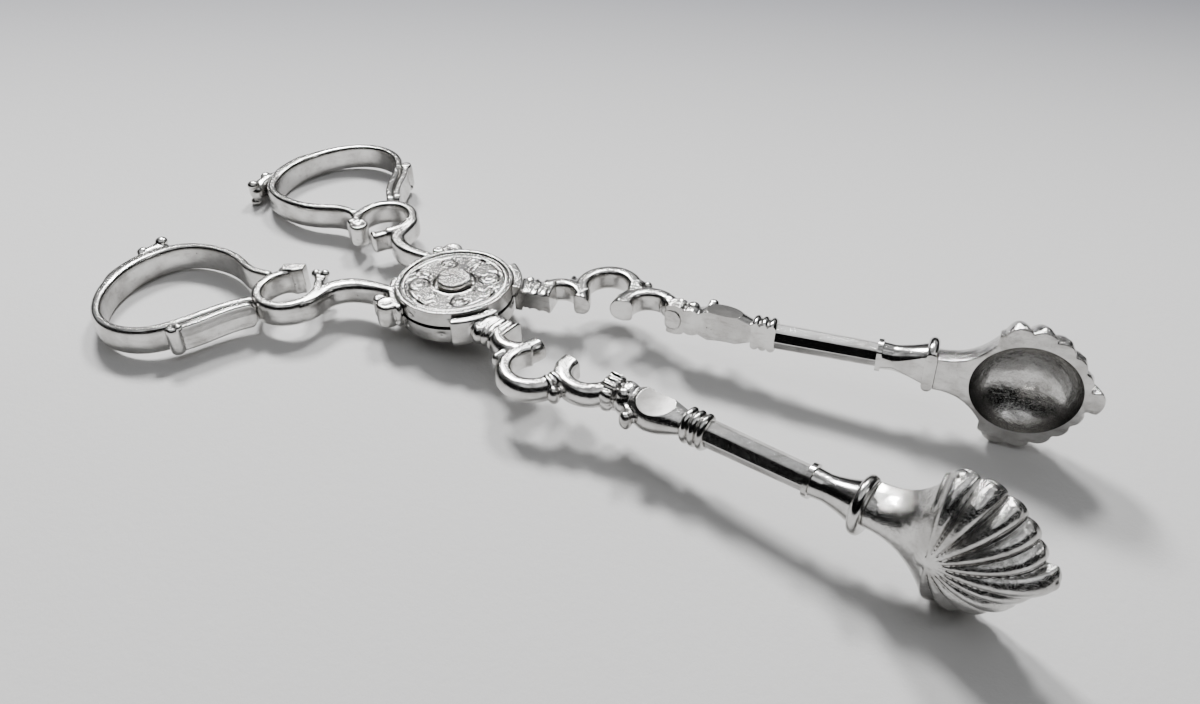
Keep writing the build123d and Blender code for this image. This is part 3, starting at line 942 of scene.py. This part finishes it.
# %% [markdown]
# ## The scallop shell
# Each jaw ends in a shell that holds the ice. Its ribs fan out from a point on its back to a
# knobby rim, its front is a flat rim, and a round bowl is cut into that. The fan is a surface of
# two numbers: how far a point is from the fan's point to the rim, and its angle. The neck is a
# second skin that widens as a concave curve, and a bead fills the dip where the two meet. Cast
# together, they get their soft meeting line. Last, the bowl is cut out of the casting, so its
# edge stays crisp.

# %% The fan
SHELL_FACE = 1.75
NECK_START = 58.05
SHELL_CENTRE = NECK_START + 9.55
SHELL_REACH = 7.7
SHELL_HALF_HEIGHT = 8.3
FAN_POINT = 65.2
FAN_ANGLE = np.radians(118)
FAN_HEIGHT = 5.35
LOBE_LENGTHS = np.array([1.0, 0.96, 0.91, 0.88, 0.88, 1.05, 0.88, 0.88, 0.91, 0.96, 1.0])
LOBES = len(LOBE_LENGTHS)
PLAIN_RIM = 0.935
NECK_RIM = 63.7


def fan(points_out=110, points_round=520):
    """The ribbed back and the flat front. Over the share t from the fan's point to the rim, the
    height falls as (1 - t^2.4)^0.53. The ribs are the absolute sine of the lobe count, and their
    depth grows with t. Past the rim the rows run back over the flat face to its middle."""
    angle = np.linspace(-np.pi, np.pi, points_round, endpoint=False)
    in_fan = np.abs(angle) < FAN_ANGLE
    phase = (angle + FAN_ANGLE) / (2 * FAN_ANGLE) * LOBES
    lobe = np.where(in_fan, np.abs(np.sin(np.pi * phase)) ** 0.75, 0.0)
    lobe_number = np.clip(phase.astype(int), 0, LOBES - 1)
    lobed = PLAIN_RIM * LOBE_LENGTHS[lobe_number] + 0.06 * lobe
    under_neck = (SHELL_CENTRE - NECK_RIM) / (SHELL_REACH * np.maximum(-np.cos(angle), 0.3))
    rim = np.where(in_fan, lobed, np.minimum(PLAIN_RIM, under_neck))
    rim_x = SHELL_CENTRE + SHELL_REACH * np.cos(angle) * rim
    rim_z = SHELL_HALF_HEIGHT * np.sin(angle) * rim
    t = np.linspace(0, 1, points_out)[:, None] ** 0.85
    dome = FAN_HEIGHT * np.clip(1 - t**2.4, 0, 1) ** 0.53
    depth = t**0.85
    ribbed = np.where(in_fan, dome + depth * (lobe - 0.62), 0.92 * dome)
    height = np.maximum(ribbed, 0.25 + 0.55 * lobe)
    back = np.stack([FAN_POINT + t * (rim_x - FAN_POINT), SHELL_FACE + height, t * rim_z], -1)
    s = np.linspace(1, 0, 14)[:, None]
    flat = np.broadcast_to(SHELL_FACE, (14, points_round))
    front = np.stack([SHELL_CENTRE + s * (rim_x - SHELL_CENTRE), flat, s * rim_z], -1)
    return tube(np.concatenate([back, front]))


print("the fan has", LOBES, "ribs and", len(fan()[0]), "points")

# %% The neck and the knobs
NECK_END = 64.9


def neck():
    """From the collar the half height grows as the 2.6th power of the way, which is a concave
    flare, and the back rises to the fan's point. Across, it is half an oval."""
    way = np.linspace(0, 1, 90)[:, None]
    x = NECK_START + way * (NECK_END - NECK_START)
    half_height = 2.15 + 5.3 * way**2.6
    back = 5.7 + 1.4 * way**2 - SHELL_FACE
    turn = np.linspace(0, 2 * np.pi, 96, endpoint=False)
    c, s = np.cos(turn), np.sin(turn)
    outwards = back * np.maximum(c, 0) ** 0.9
    return tube(grid(x, SHELL_FACE + outwards, half_height * np.sign(s) * np.abs(s) ** 0.9))


def rim_knobs():
    """A knob near the end of each rib."""
    knob_in = 0.75
    for i, length in enumerate(LOBE_LENGTHS):
        angle = FAN_ANGLE * ((2 * i + 1) / LOBES - 1)
        x = SHELL_CENTRE + (SHELL_REACH * length - knob_in) * np.cos(angle)
        z = (SHELL_HALF_HEIGHT * length - knob_in) * np.sin(angle)
        yield bead(x, SHELL_FACE + 0.85, z, 0.8, 0.8, 0.84)


print("the neck is", round(NECK_END - NECK_START, 2), "mm long")

# %% The shell with its bowl
BOWL_RADIUS = 5.85
BOWL_DEPTH = 4.3


def scooped(mesh):
    """The mesh with the round bowl cut out of its flat face by half of an egg. The egg's poles
    are tiny flat caps, because a pole of a single point would leave a spot in the bowl."""
    near_pole = 0.985 * np.pi / 2
    a = np.linspace(-near_pole, near_pole, 65)[:, None]
    turn = np.linspace(0, 2 * np.pi, 144, endpoint=False)
    across, depth = BOWL_RADIUS * np.cos(a), BOWL_DEPTH * np.sin(a)
    egg = grid(SHELL_CENTRE + across * np.cos(turn), SHELL_FACE + depth, across * np.sin(turn))
    cutter = in_scene("scoop", plain_mesh([tube(egg)]))
    cut = {"operation": "DIFFERENCE", "object": cutter, "solver": "EXACT"}
    result = reshaped(mesh, [("BOOLEAN", cut)])
    bpy.data.objects.remove(cutter)
    return result


fan_point = bead(FAN_POINT - 0.4, SHELL_FACE + 3.6, 0.0, 1.6, 1.8, 1.8)
shell = cast([fan(), neck(), fan_point, *rim_knobs()], 0.1, 6)
flat_inside(shell, SHELL_FACE)
shell = scooped(shell)
shell.set_sharp_from_angle(angle=np.radians(40))
add_piece("scallop_shell", shell, "shell_bowl", bowl_silver, is_jaw=True)

# %% [markdown]
# ## The engraved hinge disc
# The disc was turned, given a corded rim and then engraved: loops that end in a curl, a flower,
# leaves with veins, and fine hatching on the ground between them. All of it is real relief. The
# height of the disc's face is a sum over strokes, where each stroke is a soft ridge with a
# groove on both sides.

# %% Strokes
def arc_distance(x, y, centre, radius, start, sweep):
    """The distance to part of a circle, with angles in degrees."""
    dx, dy = x - centre[0], y - centre[1]
    angle = np.mod(np.degrees(np.arctan2(dy, dx)) - start, 360)
    on_arc = np.abs(np.hypot(dx, dy) - radius)
    ends = [on_circle(centre, radius, start + a) for a in (0, sweep)]
    to_ends = np.minimum(*(np.hypot(x - e[0], y - e[1]) for e in ends))
    return np.where(angle <= sweep, on_arc, to_ends)


def ridge(distance, height, width):
    """A soft ridge with a groove on both sides."""
    crest = height * np.exp(-((distance / width) ** 2))
    groove = 0.75 * height * np.exp(-(((distance - 2.2 * width) / (0.8 * width)) ** 2))
    return crest - groove


def leaf_shape(x, y, root, length, width, angle):
    """A leaf raised to a soft keel, with a cut vein and toothed edges: 1 on the keel and 0 at
    the edge, whose half width is the sine of the way along, sharpened towards the tip."""
    a = np.radians(angle)
    dx, dy = x - root[0], y - root[1]
    u = (dx * np.cos(a) + dy * np.sin(a)) / length
    v = (dy * np.cos(a) - dx * np.sin(a)) / width
    edge = np.sin(np.pi * np.clip(u, 0, 1) ** 0.75) * (1 - 0.18 * np.abs(np.sin(9 * np.pi * u)))
    inside = (u > 0) & (u < 1)
    body = np.where(inside, np.clip(1 - (np.abs(v) / np.maximum(edge, 1e-3)) ** 2, 0, 1), 0)
    return body * (1 - 0.7 * np.exp(-((v * width / 0.07) ** 2)))


def soft_step(amount):
    """0 below 0, 1 above 1, and a smooth step between."""
    amount = np.clip(amount, 0, 1)
    return amount * amount * (3 - 2 * amount)


print("a stroke 0.1 deep and 0.12 wide has the height", round(ridge(0.0, 0.1, 0.12), 3), "on its crest")

# %% The relief of the disc's face
DISC_OUTER = 2.15
RIM_HEIGHT = 0.22
FIELD = DISC_OUTER - RIM_HEIGHT
LOOP_TURNS = (38, 135, 213, 312)
LOOP_SIZES = (1.25, 1.05, 1.3, 1.1)
LEAVES = ((-38, 0.8533), (0, 2.5), (38, 0.8533))
HATCH_SPACING = 0.27
CORDS_PER_TURN = 124


def relief(x, y):
    """The height of the face above its field, in millimetres."""
    r, angle = np.hypot(x, y), np.degrees(np.arctan2(y, x))
    ground = np.ones_like(r)
    pattern = np.zeros_like(r)
    for turn, size in zip(LOOP_TURNS, LOOP_SIZES):
        spot = on_circle((0, 0), 4.35, turn)
        loop = arc_distance(x, y, spot, size, turn + 150, 290)
        curl = arc_distance(x, y, spot, 0.52 * size, turn + 60, 230)
        sweep_out = arc_distance(x, y, (0, 0), 5.72, turn + 12, 48)
        tail = arc_distance(x, y, on_circle((0, 0), 4.6, turn + 45), 1.15, turn - 20, 150)
        eye = np.exp(-((np.hypot(x - spot[0], y - spot[1]) / 0.2) ** 2))
        for distance, height, width in (
            (loop, 0.1, 0.12), (curl, 0.08, 0.09), (sweep_out, 0.07, 0.1), (tail, 0.08, 0.1)
        ):
            pattern += ridge(distance, height, width)
            ground *= 1 - np.exp(-((distance / 0.3) ** 2))
        pattern += 0.12 * eye
        root = on_circle((0, 0), 3.0, turn + 47)
        for lean, length in LEAVES:
            leaf = leaf_shape(x, y, root, length, 0.52, turn + 47 + lean)
            pattern += 0.13 * leaf
            ground *= 1 - np.clip(3 * leaf, 0, 1)
        side_root = on_circle((0, 0), 5.0, turn - 22)
        leaf = leaf_shape(x, y, side_root, 1.5, 0.42, turn + 62)
        pattern += 0.12 * leaf
        ground *= 1 - np.clip(3 * leaf, 0, 1)
    flower = on_circle((0, 0), 4.9, 128)
    dx, dy = x - flower[0], y - flower[1]
    petals = np.hypot(dx, dy) / (0.62 + 0.14 * np.cos(6 * np.arctan2(dy, dx)))
    pattern += 0.1 * np.clip(1 - petals**4, 0, 1) + 0.08 * np.exp(-((np.hypot(dx, dy) / 0.16) ** 2))
    hatch = np.sin(2 * np.pi * (x * 0.94 + y * 0.34) / HATCH_SPACING)
    band = swell(r, 2.75, 6.2, 0.3)
    height = band * (pattern + ground * (0.028 * hatch - 0.05))
    height += -0.05 * np.exp(-(((r - 6.12) / 0.06) ** 2))
    cord = np.exp(-(((r - 6.36) / 0.13) ** 2))
    twist = np.sin(np.radians(angle) * CORDS_PER_TURN / 2 + 9 * (r - 6.36))
    height += cord * (0.05 + 0.06 * np.abs(twist))
    rim_groove = 0.05 * np.exp(-(((r - 6.78) / 0.05) ** 2))
    height += (RIM_HEIGHT - rim_groove) * soft_step((r - 6.5) / 0.14)
    return height - 0.38 * soft_step((2.75 - r) / 0.3)


print("the field of the disc lies", RIM_HEIGHT, "mm below its rim")

# %% The hinge disc
EDGE_ROUND = 0.1
# Each dent in the side: its angle, its height and its size.
DENTS = (
    (-118, 1.35, 0.2), (-103, 0.8, 0.24), (-98, 1.5, 0.12), (-60, 1.1, 0.16), (-20, 0.7, 0.2),
    (25, 1.4, 0.15), (70, 0.9, 0.22), (110, 1.2, 0.14), (160, 0.75, 0.2), (205, 1.3, 0.18),
)


def disc_skin(points_round=620, points_out=116):
    """Rows run from the middle of the face over the rim, down the side and back below it. Each
    dent lowers the side by a bell curve of the distance from its middle."""
    turn = np.linspace(0, 2 * np.pi, points_round, endpoint=False)
    r = np.linspace(0.02, DISC_RADIUS - EDGE_ROUND, points_out)[:, None]
    x, y = r * np.cos(turn), r * np.sin(turn)
    face = np.stack([x, y, FIELD + relief(x, y)], -1)
    corner = np.radians(np.linspace(15, 90, 5))
    corner_r = DISC_RADIUS - EDGE_ROUND + EDGE_ROUND * np.sin(corner)
    corner_z = DISC_OUTER - EDGE_ROUND + EDGE_ROUND * np.cos(corner)
    side_z = np.linspace(DISC_OUTER - 0.2, DISC_INNER + 0.1, 14)
    edge_r = np.r_[corner_r, np.full(len(side_z), DISC_RADIUS), DISC_RADIUS - 0.08, 3.0]
    edge_z = np.r_[corner_z, side_z, DISC_INNER, DISC_INNER]
    dents = np.zeros((len(edge_r), points_round))
    for angle, z, size in DENTS:
        away = np.mod(np.degrees(turn) - angle + 180, 360) - 180
        along = np.radians(away) * DISC_RADIUS / (1.8 * size)
        above = (edge_z[:, None] - z) / size
        dents += 0.13 * np.exp(-(along**2 + above**2))
    dents[-1] = 0
    radius = edge_r[:, None] - dents
    side = grid(radius * np.cos(turn), radius * np.sin(turn), edge_z[:, None])
    return tube(np.concatenate([face, side]))


disc = plain_mesh([disc_skin()])
store(disc, "hollow", 0.55 * hollowness(disc, 2))
add_piece("engraved_disc", disc, "hinge_disc", engraved_silver)

# %% [markdown]
# ## The pin, its boss and the washer
# A boss covers the top of the pin. It was cast, not turned: its outline is uneven, its face is
# stippled with a punch, and a deeper mark is left beside its middle. The pin and the washer are
# simple turned pieces whose shapes in the working model are already right, so they stay and only
# get a finish.

# %% The boss on the pin
BOSS_RADIUS = 2.12
BOSS_TOP = FIELD + 0.8


def boss_skin():
    """A low round cushion whose edge wanders by three sine waves. The product of two crossed
    cosines gives its shallow punch marks, and a bell curve the deeper one."""
    turn = np.linspace(0, 2 * np.pi, 220, endpoint=False)
    wander = 0.04 * np.sin(3 * turn + 0.6) + 0.025 * np.sin(5 * turn) + 0.012 * np.sin(11 * turn)
    outline = BOSS_RADIUS * (1 + wander)
    inner = np.linspace(0.01, 0.9, 60)
    s = np.r_[inner, 0.95, 0.985, 1.0, 1.0, 1.0, 0.98][:, None]
    drop = np.r_[0.14 * inner**4, 0.16, 0.22, 0.32, 0.55, 1.0, 1.05][:, None]
    x, y = s * outline * np.cos(turn), s * outline * np.sin(turn)
    rows_one = np.cos(2 * np.pi * (x + 0.4 * y) / 0.44)
    rows_two = np.cos(2 * np.pi * (y - 0.35 * x) / 0.4)
    mark = -0.22 * np.exp(-(((x - 0.25) ** 2 + (y - 0.1) ** 2) / 0.16**2))
    fade = np.clip((0.95 - s) / 0.15, 0, 1)
    return tube(grid(x, y, BOSS_TOP - drop + fade * (0.035 * rows_one * rows_two + mark)))


boss_mesh = plain_mesh([boss_skin()])
store(boss_mesh, "hollow", hollowness(boss_mesh, 1) + 0.9)
move_points(boss_mesh, place(points_of(boss_mesh), "upper"))
boss_mesh.materials.append(engraved_silver)
boss = in_scene("stippled_boss", boss_mesh)
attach(boss, "lower_arm")
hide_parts("pin_boss")
for node in ("hinge_pin", "spacing_washer"):
    frame["nodes"][node].data.materials.clear()
    frame["nodes"][node].data.materials.append(pin_silver)
print("the boss is", len(boss_mesh.vertices), "points")

# %% [markdown]
# ## Floor, light and camera
# The tongs lie on a pale sheet. Its colour is painted darker towards the back and far away: painted
# shade, since the lamps stand near and would light it evenly. Two soft lamps stand behind the tongs on
# the left, so the shadows fall to the front and the right, and a dim one on the right lifts the dark
# sides.
# Polished silver shows the room more than its own colour, and it looks like silver when the room
# has strong contrast. So the room is dark in front, with a bright ceiling and a pale wall at the
# back, and soft noise breaks both up as windows and furniture do.

# %% The floor
TOWARDS_BACK = (-0.457, 0.889, 0)
TOWARDS_FRONT = (0.457, -0.889, 0)
# The back and far colours are painted shade: dark greys that the sheet's colour turns to towards the
# back and far from the middle.
PALE, BACK_PAINTED_SHADE, FAR_PAINTED_SHADE = (0.68, 0.675, 0.67), (0.12, 0.122, 0.142), (0.13, 0.13, 0.136)
bpy.ops.mesh.primitive_plane_add(size=3.0, location=(0, 0, 0))
floor = bpy.context.object
floor.name = "pale_sheet"
paper = Finish("pale sheet")
dot = {"operation": "DOT_PRODUCT"}
to_back = paper.node("ShaderNodeVectorMath", dot, paper.place(), TOWARDS_BACK, output=1)
from_middle = paper.node("ShaderNodeVectorMath", {"operation": "LENGTH"}, paper.place(), output=1)
# Painted shade: the sheet's colour is blended to dark towards the back and far from the middle.
shaded_sheet_colour = paper.blend(to_back.ramp(0, 170), PALE, BACK_PAINTED_SHADE)
shaded_sheet_colour = paper.blend(from_middle.ramp(130, 480), shaded_sheet_colour, FAR_PAINTED_SHADE)
fibres = paper.noise(1.2, 4.0, 0.7)
paper.wear(Base_Color=shaded_sheet_colour, Roughness=0.9, Normal=paper.bump(fibres, 0.05))
floor.data.materials.append(paper.material)
print("the sheet's finish has", len(paper.tree.nodes), "nodes")


# %% Lamps
def lamp(name, direction, distance, size, power):
    """A square soft lamp that looks at the middle of the tongs from a direction. Distance and
    size are in metres, and power is in watts."""
    way = np.array(direction, float) / np.linalg.norm(direction)
    data = bpy.data.lights.new(name, "AREA")
    data.size, data.energy = size, power
    light = in_scene(name, data)
    light.rotation_mode = "QUATERNION"
    light.rotation_quaternion = Vector(-way).to_track_quat("-Z", "Y")
    light.location = way * distance
    print(f"{name}: {power} W at {distance} m")


lamp("key", (-0.77, 0.62, 1.0), 0.5, 0.09, 3.3)
lamp("second_key", (-0.3, 0.95, 1.3), 0.5, 0.08, 2.0)
lamp("side", (1.0, 0.15, 0.9), 0.6, 0.1, 0.2)

# %% The room that the silver reflects
CEILING_GLOW, WALL_GLOW, DARK_GLOW = 1.3, 0.55, 0.004
room = bpy.data.worlds.new("room")
bpy.context.scene.world = room
air = Network(room)
output = air.tree.nodes.new("ShaderNodeOutputWorld")
way = air.node("ShaderNodeTexCoord", output="Generated")
up = air.node("ShaderNodeSeparateXYZ", None, way, output="Z")
front = air.node("ShaderNodeVectorMath", dot, way, TOWARDS_FRONT, output=1)
clutter = air.node("ShaderNodeTexNoise", None, Vector=way, Scale=2.6, Detail=2.0)
ceiling = up.ramp(0.76, 0.84) * CEILING_GLOW
wall_height = up.ramp(0.3, 0.5) * (1 - up.ramp(0.7, 0.84))
back_wall = (front * -1.0).ramp(0.1, 0.6) * wall_height * WALL_GLOW
blinds = clutter.ramp(0.44, 0.54) * 0.85 + 0.15
glow = (ceiling + back_wall) * blinds + DARK_GLOW
shine = air.node("ShaderNodeBackground", None, (0.97, 0.985, 1.0, 1.0), glow)
air.tree.links.new(shine.socket, output.inputs[0])
print("the room has", len(air.tree.nodes), "nodes")

# %% [markdown]
# ## The camera
# It stands close and looks down at about 39 degrees, as a person does who leans over a table,
# from the front and nearer to the shells than to the rings. The columns of its turn are its
# right, its up and its back.

# %% The camera
CAMERA_PLACE = (0.049681, -0.086256, 0.082104)
CAMERA_TURN = Matrix(
    (
        (0.87856, -0.31903, 0.35546),
        (0.47686, 0.54353, -0.69078),
        (0.02718, 0.77640, 0.62966),
    )
)
camera_data = bpy.data.cameras.new("camera")
camera_data.sensor_width = 36
camera_data.lens = 31.48
camera_data.clip_start = 0.001
camera = in_scene("camera", camera_data)
camera.matrix_world = Matrix.Translation(CAMERA_PLACE) @ CAMERA_TURN.to_4x4()
bpy.context.scene.camera = camera
print("the camera is", round(camera.matrix_world.translation.length, 3), "m from the middle")
